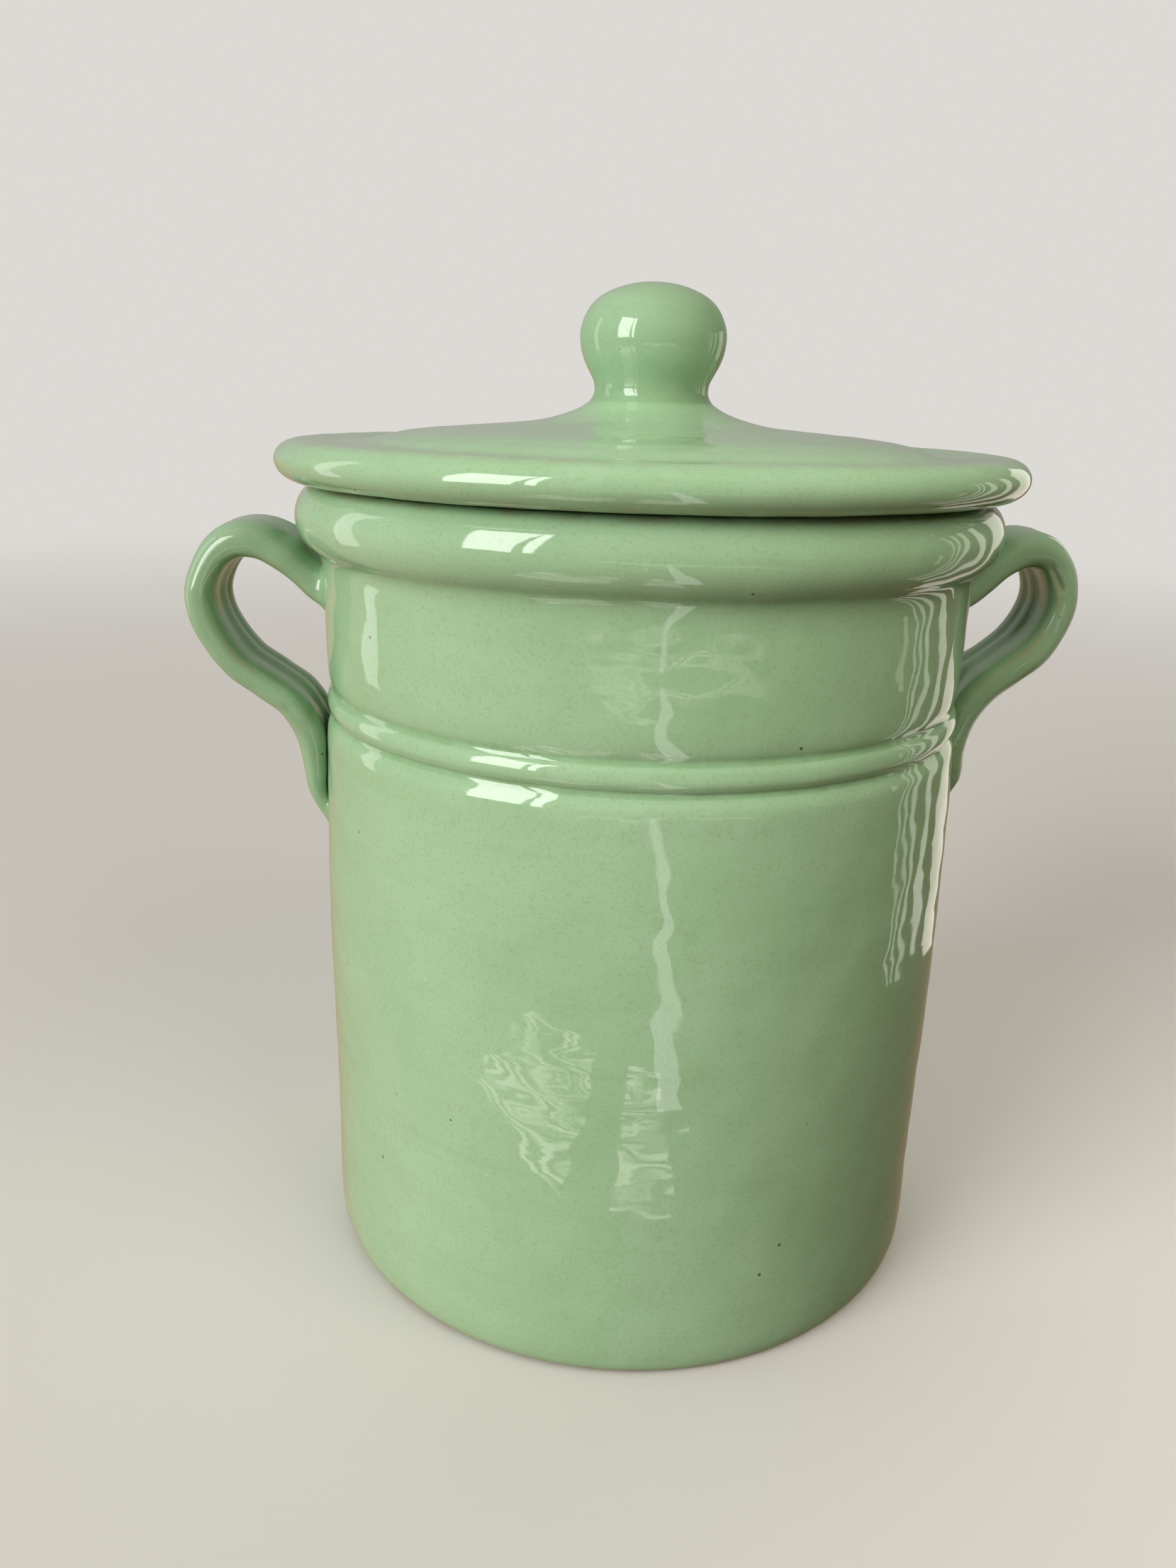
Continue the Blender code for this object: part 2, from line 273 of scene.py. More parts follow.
class Turned:
    """A profile turned about Z, with relief(theta, along, line) added outward along the normal.

    It carries two masks for the glaze: thin where it runs off an edge, and pooled where it
    gathers in a hollow.
    """

    POLE_RADIUS = 0.5        # an end nearer to the axis than this closes in a point
    FLAT_TO_FULL = (1.0, 12.0)   # radii over which relief grows from nothing to its full height
    HOLLOW_BEND = (0.04, 0.26)   # inward bends, radians per millimetre, over which glaze pools

    def __init__(self, profile, segments, relief, thin, spacing=turned_spacing):
        line = respaced(np.array(profile, float), spacing)
        self.ends = [(0.0, 0.0, z * MM) if r < self.POLE_RADIUS else None
                     for r, z in (line[0], line[-1])]
        line = line[(1 if self.ends[0] else 0):(-1 if self.ends[1] else None)]
        tangent = tangents(line)
        normal = np.stack([tangent[:, 1], -tangent[:, 0]], axis=1)
        along = lengths_along(line)
        theta = np.linspace(0, math.tau, segments, endpoint=False)
        bump = relief(theta[None, :], along[:, None], line)
        bump = bump * smooth_step(*self.FLAT_TO_FULL, line[:, 0])[:, None]
        radius = line[:, :1] + normal[:, :1] * bump
        height = line[:, 1:] + normal[:, 1:] * bump
        self.line = line
        places = [radius * np.cos(theta), radius * np.sin(theta), height]
        self.points = np.stack(places, axis=2) * MM
        bend = blur(turn_rate(line), 2)
        self.thin = np.repeat(thin(line[:, 0], line[:, 1])[:, None], segments, 1)
        self.pooled = np.repeat(smooth_step(*self.HOLLOW_BEND, -bend)[:, None], segments, 1)

    def piece(self, name, start=0, stop=None, first_pole=None, last_pole=None, sharp_ring=None):
        """The rings from start to stop as an object. The poles close ends that don't close."""
        masks = (("thin", self.thin[start:stop]), ("pooled", self.pooled[start:stop]))
        first = first_pole or self.ends[0]
        last = last_pole or self.ends[1]
        return grid_object(name, self.points[start:stop], first, last, masks, sharp_ring)


# ---------------------------------------------------------------- pot

def pot_outside():
    """The outer line from the top of the rim down to the edge of the foot."""
    rim = arc(RIM_CENTRE, RIM_RADII, 86, -58, 20)
    neck = [(94.9, 214.3), (93.9, 212.4), (93.3, 209.6), (93.0, 204.0), (93.0, 194.0),
            (92.9, 184.0)]
    upper_valley = [(92.7, 180.4), (92.3, 178.0), (91.7, 176.3)]
    bead = [(91.9, 175.2), (92.8, 174.0), (93.35, 172.2), (93.3, 170.6), (92.6, 169.2),
            (91.8, 168.3)]
    lower_valley = [(92.0, 167.2), (92.7, 166.0), (93.4, 164.2)]
    belly = [(93.65, 161.6), (93.75, 157.0), (94.1, 145.0), (94.6, 122.0), (94.8, 92.0),
             (94.45, 60.0), (94.35, 32.0), (94.6, 12.0)]
    foot = [(94.4, 6.0), (93.7, 2.6), (92.4, 0.6), (91.0, 0.0)]
    return rim + neck + upper_valley + bead + lower_valley + belly + foot


def pot_profile():
    """From the middle under the foot, up the outside, down the inside and in to the floor."""
    under = [(0.0, 2.0), (40.0, 2.0), (78.0, 2.0), (82.4, 1.7), (84.2, 0.5), (86.0, 0.0)]
    inside = [(88.4, 232.2), (87.3, 230.8), (86.9, 227.0), (86.7, 218.0), (86.2, 208.0),
              (86.2, 160.0), (87.7, 120.0), (87.8, 60.0), (87.8, 24.0)]
    corner = arc((75.8, 21.0), (12.0, 12.0), 0, -90, 8)
    floor = [(60.0, 8.8), (30.0, 8.6), (0.0, 8.8)]
    return under + pot_outside()[::-1] + inside + corner + floor


POT_DENTS = Waves(3, 19.0)
POT_BROAD = Waves(4, 60.0, count=16)
LID_DENTS = Waves(5, 17.0)
LID_BROAD = Waves(6, 55.0, count=16)
LID_WAVE_RADIUS = 90.0
FLANGE_WAVE_RADIUS = 82.0


def pot_relief(theta, along, line):
    """Dents, a slightly oval wall and throwing lines, in millimetres. They fade at the foot."""
    height = line[:, 1:]
    dents = 0.050 * POT_DENTS(theta, along, WALL_RADIUS)
    dents = dents + 0.06 * POT_BROAD(theta, along, WALL_RADIUS)
    oval = 0.12 * np.cos(2 * theta + 0.7) * smooth_step(0, 60, height)
    rings = 0.022 * throwing_lines(11, theta, along)
    return (dents + oval + rings) * smooth_step(0.0, 6.0, height)


def lid_relief(theta, along, line):
    """Dents on the lid but not on its knob, and throwing lines on both, in millimetres."""
    dents = 0.028 * LID_DENTS(theta, along, LID_WAVE_RADIUS)
    dents = dents + 0.03 * LID_BROAD(theta, along, LID_WAVE_RADIUS)
    dents = dents * smooth_step(20.0, 40.0, line[:, :1])
    return dents + 0.016 * throwing_lines(12, theta, along)


def flange_relief(theta, along, line):
    return 0.04 * LID_DENTS(theta, along, FLANGE_WAVE_RADIUS)


def lid_profile():
    """From the middle of the underside out to the edge, over it and in to the knob's foot."""
    under = [(0.0, 242.6), (20.0, 242.4), (38.0, 242.0), (52.0, 241.2), (60.0, 239.8),
             (68.0, 237.4), (74.0, 234.8), (77.0, 233.6),
             (80.0, LID_UNDERSIDE_Z), (88.0, LID_UNDERSIDE_Z)]
    edge = arc(LID_EDGE_CENTRE, LID_EDGE_RADII, -90, 98, 26)
    top = [(93.0, 243.4), (88.5, 242.95), (84.0, 243.1), (80.2, 243.7), (76.5, 244.9),
           (73.0, 245.7), (69.0, 246.5), (63.0, 247.2), (54.0, 248.0), (44.0, 248.8),
           (36.0, 249.5), (30.0, 250.5),
           (26.0, 251.6), (23.0, 252.6), (20.6, 253.6), (18.7, 254.7), (17.5, 255.6)]
    return under + edge + top


def flange_profile():
    """A ring that hangs below the lid, with a rounded lower edge; its top ends lie in the lid."""
    inner = [(77.6, 234.6), (78.6, 233.0), (79.0, 230.0), (79.0, 224.4)]
    lower = arc((81.7, 223.8), (2.75, 2.9), 180, 360, 10)
    outer = [(84.5, 226.0), (84.5, 230.0), (84.9, 232.2), (86.4, 234.4)]
    return inner + lower + outer


def knob_profile():
    """On from the lid's line: a short waisted neck that flares into the lid, and a flat ball."""
    neck = [(16.7, 256.7), (16.2, 258.0), (16.1, 259.4), (16.5, 261.2), (17.6, 263.3),
            (19.1, 266.2)]
    ball = [(20.1, 269.2), (20.55, 273.4), (19.85, 276.9), (17.9, 280.7), (15.1, 283.4),
            (10.2, 285.8), (5.0, 287.1), (0.0, 287.5)]
    return neck + ball


def band_mask(value, middle, breadth):
    return np.exp(-((value - middle) / breadth) ** 2)


def pot_thin(radius, height):
    """The glaze is thin on the rim's crown and where the foot was wiped."""
    crown = smooth_step(230.6, 232.2, height) * (radius > 87.5)
    foot = smooth_step(2.4, 0.8, height)
    return np.clip(0.8 * crown + foot, 0, 1)


def lid_thin(radius, height):
    """The glaze is thin along the lid's lower edge, and a little on its upper one."""
    lower = band_mask(height, 233.9, 0.8) * smooth_step(96.0, 98.0, radius)
    upper = band_mask(radius, 100.4, 1.3) * (height > 242.0)
    return np.clip(0.9 * lower + 0.4 * upper, 0, 1)


def flange_thin(radius, height):
    return smooth_step(222.6, 221.2, height)


def build_turned():
    """The lid and its knob come from one turned line, so that their join doesn't show."""
    pot = Turned(catmull(pot_profile(), 10), POT_SEGMENTS, pot_relief, pot_thin, pot_spacing)
    line = catmull(lid_profile() + knob_profile(), 10)
    whole = Turned(line, LID_SEGMENTS, lid_relief, lid_thin)
    split = int(np.argmax((whole.line[:, 0] < 30.0) & (whole.line[:, 1] > KNOB_FOOT_Z)))
    foot_z = whole.line[split, 1]
    below = (0.0, 0.0, (foot_z - CAP_DEPTH) * MM)
    above = (0.0, 0.0, (foot_z + CAP_DEPTH) * MM)
    lid = whole.piece("lid_thrown", stop=split + 1, last_pole=below, sharp_ring=split)
    knob = whole.piece("lid_knob_turned", start=split, first_pole=above, sharp_ring=0)
    ring = Turned(catmull(flange_profile(), 10), LID_SEGMENTS, flange_relief, flange_thin)
    flange = ring.piece("lid_flange_ring")
    return pot.piece("pot_thrown"), lid, flange, knob


# ---------------------------------------------------------------- handles

# Stations down the middle of each strap: (radius, height, width, thickness) in millimetres.
LEFT_STATIONS = [
    (88.0, 198.6, 33.4, 10.5), (94.0, 202.0, 31.4, 11.0), (98.8, 206.6, 29.4, 11.0),
    (104.0, 211.2, 29.4, 11.4), (110.5, 214.6, 29.4, 12.0), (117.0, 214.8, 29.4, 12.0),
    (122.2, 211.6, 29.4, 11.6), (126.3, 205.3, 29.4, 11.2), (127.8, 199.0, 29.4, 11.0),
    (125.6, 190.2, 29.4, 11.0), (118.4, 179.6, 29.4, 11.0), (110.4, 173.8, 29.4, 11.0),
    (103.4, 168.3, 29.2, 11.0), (98.4, 159.2, 28.4, 11.0), (97.4, 149.2, 27.8, 9.0),
    (97.0, 141.9, 27.0, 7.0), (94.8, 135.4, 26.0, 5.0), (90.5, 129.0, 25.0, 4.0),
]
RIGHT_STATIONS = [
    (88.0, 200.6, 33.4, 9.0), (94.0, 203.8, 31.4, 9.5), (98.8, 208.4, 29.4, 10.4),
    (104.0, 213.4, 29.4, 11.0), (110.4, 216.8, 29.4, 12.0), (116.4, 216.2, 29.4, 12.2),
    (120.2, 212.0, 29.4, 12.2), (122.2, 206.4, 29.4, 12.0), (122.4, 201.2, 29.4, 11.8),
    (120.4, 194.6, 29.4, 12.0), (116.4, 188.2, 29.4, 12.4), (109.8, 182.4, 29.4, 12.4),
    (102.8, 176.8, 30.4, 12.0), (97.4, 168.4, 32.4, 11.0), (95.8, 158.0, 33.4, 8.4),
    (96.0, 151.0, 32.4, 8.0), (94.4, 144.0, 29.4, 6.0), (90.5, 137.0, 26.4, 5.0),
]
WALL_LINE = catmull(pot_outside(), 8)
STRAP_ANGLES = np.linspace(0, math.tau, STRAP_AROUND, endpoint=False)
USUAL_THICKNESS = 11.0
SQUARENESS = 0.74        # 1 makes the section an ellipse, and less makes it squarer
HUG_RADIUS = 95.0        # of the wall that the strap's ends are bent round
BURIED_RADIUS = 89.0     # no part of a flared end goes deeper into the wall than this


def wall_distance(points):
    """Millimetres out from the pot's outer surface, and the outward direction there."""
    flat = points.reshape(-1, 3)
    rho = np.hypot(flat[:, 0], flat[:, 1])
    place = np.stack([rho, flat[:, 2]], axis=1)
    start = WALL_LINE[:-1]
    edge = np.diff(WALL_LINE, axis=0)
    length = (edge ** 2).sum(1)
    distance = np.full(len(flat), 1e9)
    signed = np.zeros(len(flat))
    out = np.zeros((len(flat), 2))
    for a, e, l2 in zip(start, edge, length):
        t = np.clip(((place - a) @ e) / l2, 0, 1)
        away = place - (a + t[:, None] * e)
        size = np.hypot(away[:, 0], away[:, 1])
        closer = size < distance
        normal = np.array([-e[1], e[0]]) / math.sqrt(l2)
        side = np.sign(away @ normal)
        distance = np.where(closer, size, distance)
        signed = np.where(closer, size * side, signed)
        out[closer] = normal
    outward = [flat[:, 0] / rho * out[:, 0], flat[:, 1] / rho * out[:, 0], out[:, 1]]
    return signed.reshape(points.shape[:2]), np.stack(outward, axis=1).reshape(points.shape)


def bands(across, rows):
    """A sum of rounded ridges, each given as (middle, breadth, size)."""
    return sum(size * band_mask(across, middle, breadth) for middle, breadth, size in rows)


def strap_section(width, thickness, ribs, ridges):
    """(across, outward) offsets of the strap's section, with rounded edges.

    The inner face is hollowed and carries the ribs, and the outer face carries the ridges.
    """
    cosine = np.cos(STRAP_ANGLES)
    sine = np.sin(STRAP_ANGLES)
    across = np.sign(cosine) * np.abs(cosine) ** SQUARENESS
    outward = np.sign(sine) * np.abs(sine) ** SQUARENESS * thickness / 2
    inside = np.clip(1 - across ** 2, 0, 1)
    share = thickness / USUAL_THICKNESS
    hollow = 2.1 * inside ** 1.2 * share
    inner = (hollow - bands(across, ribs) * share) * inside ** 0.3
    outward = outward + np.where(sine < 0, inner, bands(across, ridges))
    return across * width / 2, outward


def strap_points(stations, side, ribs, ridges):
    """Rings of the strap in millimetres, the middle of each, and how far along each lies.

    The ridges on the outer face fade away down from the upper end. Near the wall the strap is
    bent round it, and further out its section is straight across.
    """
    line = respaced(catmull(stations, 12), strap_spacing)
    tangent = tangents(line)
    out = np.stack([-tangent[:, 1], tangent[:, 0]], axis=1)
    progress = np.linspace(0, 1, len(line))
    rings = []
    for (radius, z, width, thickness), normal, t in zip(line, out, progress):
        fade = float(smooth_step(0.42, 0.12, t))
        lines = [(m, b, s * fade) for m, b, s in ridges]
        across, outward = strap_section(width, thickness, ribs, lines)
        x = radius + normal[0] * outward
        hug = 1 - float(smooth_step(0.0, 14.0, radius - 96.0))
        bend = across / HUG_RADIUS
        x_wrapped = x * np.cos(bend)
        y_wrapped = x * np.sin(bend)
        x_here = x * (1 - hug) + x_wrapped * hug
        y_here = across * (1 - hug) + y_wrapped * hug
        rings.append(np.stack([side * x_here, y_here, z + normal[1] * outward], axis=1))
    middles = np.stack([side * line[:, 0], 0 * line[:, 0], line[:, 1]], axis=1)
    return np.array(rings), middles, progress


def fillet(points, middles, reach):
    """Flares the strap out along the wall where the two meet, like clay that was wiped smooth.

    reach gives, ring by ring, how far from the wall the flare starts, in millimetres.
    """
    distance, out = wall_distance(points)
    away = points - middles[:, None, :]
    away -= (away * out).sum(-1, keepdims=True) * out
    away /= np.maximum(np.linalg.norm(away, axis=-1, keepdims=True), 1e-6)
    depth = np.clip(1 - distance / reach[:, None], 0, 1)
    flare = reach[:, None] * (1 - np.sqrt(1 - depth ** 2))
    moved = points + away * flare[..., None]
    rho = np.hypot(moved[..., 0], moved[..., 1])
    keep = np.maximum(rho, BURIED_RADIUS) / rho
    moved[..., 0] *= keep
    moved[..., 1] *= keep
    return moved


def ring_normals(points):
    """Outward normals of a tube of rings."""
    down = np.gradient(points, axis=0)
    round_ = np.roll(points, -1, axis=1) - np.roll(points, 1, axis=1)
    normal = np.cross(round_, down)
    normal /= np.maximum(np.linalg.norm(normal, axis=-1, keepdims=True), 1e-9)
    middle = points.mean(axis=1, keepdims=True)
    if ((points - middle) * normal).sum() < 0:
        normal = -normal
    return normal


def press(points, normal, start, end, breadth, depth):
    """Pushes a groove into points, in place, along a short line. A negative depth raises a blob.

    Returns how strongly each point was pressed, from 0 to 1.
    """
    a = np.array(start, float)
    b = np.array(end, float)
    line = b - a
    t = np.clip(((points - a) @ line) / max(line @ line, 1e-9), 0, 1)
    gap = np.linalg.norm(points - (a + t[..., None] * line), axis=-1)
    weight = np.exp(-(gap / breadth) ** 2)
    points -= normal * (depth * weight)[..., None]
    return weight


def strap_dents(points, seed):
    """Slow unevenness of a pulled strap, as a sum of waves in space."""
    rng = np.random.default_rng(seed)
    total = np.zeros(points.shape[:2])
    for _ in range(20):
        wave = rng.normal(size=3)
        wave *= math.tau / rng.uniform(9.0, 26.0) / np.linalg.norm(wave)
        total += np.cos(points @ wave + rng.uniform(0, math.tau))
    return total / math.sqrt(10)


def build_strap(name, stations, side, ribs, ridges, marks, seed):
    """One handle. side is -1 on the left. Each mark is (start, end, breadth, depth, stain)."""
    points, middles, progress = strap_points(stations, side, ribs, ridges)
    points = points + ring_normals(points) * (0.07 * strap_dents(points, seed))[..., None]
    reach = 2.2 + 0.8 * smooth_step(0.16, 0.06, progress)
    points = fillet(points, middles, reach)
    normal = ring_normals(points)
    thin = np.zeros(points.shape[:2])
    for start, end, breadth, depth, stain in marks:
        thin = np.maximum(thin, stain * press(points, normal, start, end, breadth, depth))
    sideways = np.abs(np.cos(STRAP_ANGLES))
    inner_face = np.sin(STRAP_ANGLES) < 0
    corner = band_mask(sideways, 0.93, 0.05) * np.where(inner_face, 1.0, 0.35)
    distance, _ = wall_distance(points)
    free = smooth_step(1.0, 6.0, distance)
    thin = np.maximum(thin, corner[None, :] * free * 0.8)
    inner = np.where(inner_face, np.clip(1 - sideways ** 4, 0, 1), 0)
    seam = 1 - smooth_step(0.3, 2.5, np.abs(distance))
    pooled = np.maximum(inner[None, :] * 0.6 * free, 0.7 * seam)
    points = points * MM
    if side < 0:
        points = points[:, ::-1]
        thin = thin[:, ::-1]
        pooled = pooled[:, ::-1]
    masks = (("thin", thin), ("pooled", pooled))
    return grid_object(name, points, points[0].mean(0), points[-1].mean(0), masks)


def build_handles():
    """Both handles, with the dents and creases that the photograph shows on each."""
    ribs = [(0.10, 0.16, 0.75), (0.55, 0.10, 0.20)]
    ridges = [(0.30, 0.07, 0.55), (0.52, 0.06, 0.75), (0.72, 0.05, 0.6), (0.08, 0.08, 0.3)]
    left_marks = [
        ((-104.0, -15.5, 168.0), (-95.5, -17.0, 157.0), 1.1, 0.55, 0.3),
        ((-97.5, -16.0, 200.5), (-97.5, -16.0, 200.5), 1.3, -0.7, 0.2),
    ]
    right_marks = [
        ((116.5, -13.5, 214.5), (120.5, -14.8, 207.0), 0.9, 0.9, 1.0),
        ((98.5, -15.5, 148.5), (98.5, -15.5, 146.5), 1.6, -0.9, 0.3),
    ]
    left = build_strap("left_strap", LEFT_STATIONS, -1, ribs, ridges, left_marks, 21)
    right = build_strap("right_strap", RIGHT_STATIONS, 1, ribs, ridges, right_marks, 22)
    return left, right


# ---------------------------------------------------------------- glaze

class Nodes:
    """Short calls for building a node tree."""

    def __init__(self, tree):
        self.tree = tree

    def add(self, kind, **settings):
        node = self.tree.nodes.new(kind)
        for key, value in settings.items():
            setattr(node, key, value)
        return node

    def link(self, source, target):
        self.tree.links.new(source, target)

    def value(self, target, source):
        if isinstance(source, (int, float, tuple)):
            target.default_value = source
        else:
            self.link(source, target)

    def math(self, operation, a, b):
        node = self.add("ShaderNodeMath", operation=operation)
        for socket, source in zip(node.inputs, (a, b)):
            self.value(socket, source)
        return node.outputs[0]

    def ramp(self, source, low, high, to_low=0.0, to_high=1.0):
        node = self.add("ShaderNodeMapRange", interpolation_type="SMOOTHSTEP")
        node.inputs["From Min"].default_value = low
        node.inputs["From Max"].default_value = high
        node.inputs["To Min"].default_value = to_low
        node.inputs["To Max"].default_value = to_high
        self.link(source, node.inputs["Value"])
        return node.outputs["Result"]

    def mix(self, factor, a, b):
        node = self.add("ShaderNodeMix", data_type="RGBA")
        self.value(node.inputs["Factor"], factor)
        for socket, colour in ((node.inputs[6], a), (node.inputs[7], b)):
            if isinstance(colour, tuple):
                colour = (*colour, 1.0)
            self.value(socket, colour)
        return node.outputs[2]

    def noise(self, where, scale, detail=2.0, roughness=0.5):
        node = self.add("ShaderNodeTexNoise")
        node.inputs["Scale"].default_value = scale
        node.inputs["Detail"].default_value = detail
        node.inputs["Roughness"].default_value = roughness
        self.link(where, node.inputs["Vector"])
        return node.outputs["Fac"]

    def stretched(self, where, scale):
        node = self.add("ShaderNodeMapping")
        node.inputs["Scale"].default_value = scale
        self.link(where, node.inputs["Vector"])
        return node.outputs["Vector"]


GREEN = (0.297, 0.486, 0.278)
PALE_GREEN = (0.357, 0.545, 0.342)
DEEP_GREEN = (0.205, 0.365, 0.180)
OLIVE = (0.270, 0.345, 0.150)
BROWN = (0.330, 0.262, 0.140)
SPECK = (0.050, 0.060, 0.030)
PALE_SPECK = (0.520, 0.620, 0.430)

# The handles' and knob's share of the pot's brightness. It was set by matching the photograph.
# Its darkening is in part painted shade.
HANDLE_SHADE_AND_TONE = 0.86


def shaded(colour, shade_and_tone):
    return tuple(channel * shade_and_tone for channel in colour)


def glaze(name, shade_and_tone):
    """Sage stoneware glaze: mottled, slightly streaked, thin and brown on edges, with iron specks.

    The factor below 1 darkens its greens, in part as painted shade.
    """
    material = bpy.data.materials.new(name)
    material.use_nodes = True
    nodes = Nodes(material.node_tree)
    shader = material.node_tree.nodes["Principled BSDF"]
    where = nodes.add("ShaderNodeTexCoord").outputs["Object"]
    thin = nodes.add("ShaderNodeAttribute", attribute_name="thin").outputs["Fac"]
    pooled = nodes.add("ShaderNodeAttribute", attribute_name="pooled").outputs["Fac"]

    clouds = nodes.noise(where, 26.0, detail=4.0, roughness=0.55)
    grain = nodes.noise(where, 210.0, detail=3.0, roughness=0.6)
    fine = nodes.noise(where, 1100.0, detail=2.0, roughness=0.6)
    streaks = nodes.noise(nodes.stretched(where, (150.0, 150.0, 14.0)), 1.0, detail=3.0)
    levels = nodes.noise(nodes.stretched(where, (9.0, 9.0, 260.0)), 1.0, detail=2.0)

    # The greens are darkened by the factor, in part as painted shade.
    green = shaded(GREEN, shade_and_tone)
    pale_green = shaded(PALE_GREEN, shade_and_tone)
    base = nodes.mix(nodes.ramp(clouds, 0.25, 0.75, 0.15, 0.85), green, pale_green)
    base = nodes.mix(nodes.ramp(streaks, 0.50, 0.78, 0.0, 0.30), base, pale_green)
    base = nodes.mix(nodes.ramp(levels, 0.52, 0.75, 0.0, 0.10), base, DEEP_GREEN)
    base = nodes.mix(nodes.ramp(grain, 0.52, 0.74, 0.0, 0.16), base, DEEP_GREEN)
    base = nodes.mix(nodes.ramp(fine, 0.50, 0.71, 0.0, 0.36), base, OLIVE)
    pool = nodes.math("MULTIPLY", pooled, nodes.ramp(grain, 0.2, 0.8, 0.35, 0.75))
    base = nodes.mix(pool, base, shaded(DEEP_GREEN, shade_and_tone))
    patches = nodes.ramp(nodes.noise(where, 120.0, detail=3.0), 0.40, 0.62)
    worn = nodes.math("MULTIPLY", thin, patches)
    base = nodes.mix(nodes.math("MULTIPLY", worn, 0.62), base, BROWN)

    cells = nodes.add("ShaderNodeTexVoronoi", feature="F1")
    cells.inputs["Scale"].default_value = 190.0
    nodes.link(where, cells.inputs["Vector"])
    pick = nodes.add("ShaderNodeSeparateColor")
    nodes.link(cells.outputs["Color"], pick.inputs["Color"])
    size = nodes.ramp(pick.outputs[0], 0.90, 1.0, 0.0, 0.115)
    spot = nodes.math("SUBTRACT", size, cells.outputs["Distance"])
    speck = nodes.ramp(spot, 0.0, 0.035)
    base = nodes.mix(nodes.math("MULTIPLY", speck, 0.85), base, SPECK)
    pale_size = nodes.ramp(pick.outputs[1], 0.93, 1.0, 0.0, 0.14)
    pale = nodes.ramp(nodes.math("SUBTRACT", pale_size, cells.outputs["Distance"]), 0.0, 0.05)
    base = nodes.mix(nodes.math("MULTIPLY", pale, 0.45), base, PALE_SPECK)
    nodes.link(base, shader.inputs["Base Color"])

    rough = nodes.ramp(nodes.noise(where, 60.0, detail=3.0), 0.35, 0.75, 0.030, 0.080)
    rough = nodes.math("ADD", rough, nodes.math("MULTIPLY", thin, 0.10))
    nodes.link(rough, shader.inputs["Roughness"])
    shader.inputs["IOR"].default_value = 1.55

    peel = nodes.noise(where, 330.0, detail=2.0, roughness=0.55)
    ripple = nodes.noise(nodes.stretched(where, (70.0, 70.0, 190.0)), 1.0, detail=2.0)
    peel = nodes.math("MULTIPLY", peel, 0.010)
    ripple = nodes.math("MULTIPLY", ripple, 0.030)
    height = nodes.math("ADD", peel, ripple)
    height = nodes.math("SUBTRACT", height, nodes.math("MULTIPLY", speck, 0.010))
    bump = nodes.add("ShaderNodeBump")
    bump.inputs["Strength"].default_value = 1.0
    bump.inputs["Distance"].default_value = MM
    nodes.link(height, bump.inputs["Height"])
    nodes.link(bump.outputs["Normal"], shader.inputs["Normal"])
    return material


def dress():
    """The six visible pieces, each on its body, in place of its CAD solid and in its glaze."""
    pot, lid, flange, knob = build_turned()
    left, right = build_handles()
    # The handles and knob get a darker glaze, in part as painted shade.
    pieces = (
        (pot, "pot", "pot_body", 1.0),
        (left, "pot", "left_handle", HANDLE_SHADE_AND_TONE),
        (right, "pot", "right_handle", HANDLE_SHADE_AND_TONE),
        (lid, "lid", "lid", 1.0),
        (flange, "lid", "lid_flange", 1.0),
        (knob, "lid", "lid_knob", HANDLE_SHADE_AND_TONE),
    )
    for piece, body, node, shade_and_tone in pieces:
        piece.data.materials.append(glaze(node + "_glaze", shade_and_tone))
        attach(piece, body)
        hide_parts(node)


# ---------------------------------------------------------------- stage

PAPER = (0.72, 0.70, 0.67)

# The paper, in metres: radius of its level part, radius of its bend, height of its wall.
PAPER_LEVEL = 2.4
PAPER_BEND = 1.2
PAPER_TOP = 5.0
PAPER_SEGMENTS = 96
PAPER_DROP = 0.0002      # below the foot, so that the two don't touch
PAPER_LIT, PAPER_EVEN = 0.5, 2.2


def paper_material():
    """Pale paper that is lit near the crock and evenly bright far off, so no horizon shows."""
    material = bpy.data.materials.new("studio_paper")
    material.use_nodes = True
    nodes = Nodes(material.node_tree)
    shader = material.node_tree.nodes["Principled BSDF"]
    shader.inputs["Base Color"].default_value = (*PAPER, 1.0)
    shader.inputs["Roughness"].default_value = 0.9
    shader.inputs["Specular IOR Level"].default_value = 0.15
    glow = nodes.add("ShaderNodeEmission")
    glow.inputs["Color"].default_value = (*PAPER, 1.0)
    glow.inputs["Strength"].default_value = 1.0
    distance = nodes.add("ShaderNodeVectorMath", operation="LENGTH")
    nodes.link(nodes.add("ShaderNodeTexCoord").outputs["Object"], distance.inputs[0])
    blend = nodes.add("ShaderNodeMixShader")
    share = nodes.ramp(distance.outputs["Value"], PAPER_LIT, PAPER_EVEN)
    nodes.link(share, blend.inputs["Fac"])
    nodes.link(shader.outputs["BSDF"], blend.inputs[1])
    nodes.link(glow.outputs["Emission"], blend.inputs[2])
    output = material.node_tree.nodes["Material Output"]
    nodes.link(blend.outputs["Shader"], output.inputs["Surface"])
    return material


